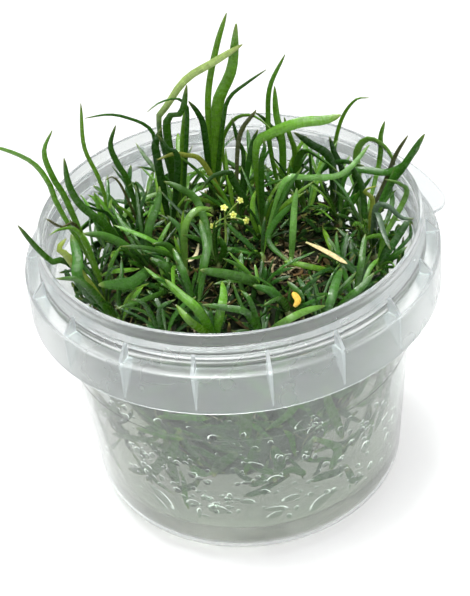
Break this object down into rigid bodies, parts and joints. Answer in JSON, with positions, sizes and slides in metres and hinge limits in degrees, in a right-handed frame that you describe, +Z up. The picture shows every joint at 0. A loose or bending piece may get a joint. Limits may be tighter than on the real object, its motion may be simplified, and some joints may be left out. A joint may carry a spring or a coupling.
{
  "type": "aquarium plant in a tissue culture cup",
  "caption": "Clump of narrow grass-like aquarium plants growing from a root mat on gel, in an open translucent plastic cup with a finned rim, skirt and pull tab.",
  "frame": {"origin": "centre of the underside of the cup's base", "axes": "+Z up, -Y towards the viewer's side of the cup, +X to the viewer's right; the pull tab is at +X and +Y"},
  "size_m": [0.111, 0.1034, 0.1281],
  "materials": {
    "cup_plastic": "translucent, slightly milky polypropylene",
    "gel": "clear wet jelly",
    "roots": "wet tangled roots and old leaf bases",
    "leaves": "smooth living leaf with a soft sheen",
    "dead_leaf": "dry leaf"
  },
  "bodies": {
    "root": {"cup": "cup_plastic", "nutrient_gel": "gel", "root_mat": "roots", "plantlet_01": "leaves", "plantlet_02": "leaves", "plantlet_03": "leaves", "plantlet_04": "leaves", "plantlet_05": "leaves", "plantlet_06": "leaves", "plantlet_07": "leaves", "plantlet_08": "leaves", "plantlet_09": "leaves", "plantlet_10": "leaves", "plantlet_11": "leaves", "plantlet_12": "leaves", "plantlet_13": "leaves", "plantlet_14": "leaves", "plantlet_15": "leaves", "plantlet_16": "leaves", "plantlet_17": "leaves", "plantlet_18": "leaves", "plantlet_19": "leaves", "plantlet_20": "leaves", "plantlet_21": "leaves", "plantlet_22": "leaves", "plantlet_23": "leaves", "plantlet_24": "leaves", "plantlet_25": "leaves", "plantlet_26": "leaves", "flowering_plantlet": "leaves", "plantlet_28": "leaves", "plantlet_29": "leaves", "plantlet_30": "leaves", "plantlet_31": "leaves", "plantlet_32": "leaves", "plantlet_33": "leaves", "plantlet_34": "leaves", "plantlet_35": "leaves", "plantlet_36": "leaves", "plantlet_37": "leaves", "plantlet_38": "leaves", "plantlet_39": "leaves", "plantlet_40": "leaves", "plantlet_41": "leaves", "sprig_01": "leaves", "sprig_02": "leaves", "sprig_03": "leaves", "sprig_04": "leaves", "sprig_05": "leaves", "sprig_06": "leaves", "sprig_07": "leaves", "sprig_08": "leaves", "sprig_09": "leaves", "sprig_10": "leaves", "sprig_11": "leaves", "sprig_12": "leaves", "sprig_13": "leaves", "loose_leaf_1": "dead_leaf", "loose_leaf_2": "dead_leaf", "loose_leaf_3": "dead_leaf"}
  },
  "joints": []
}
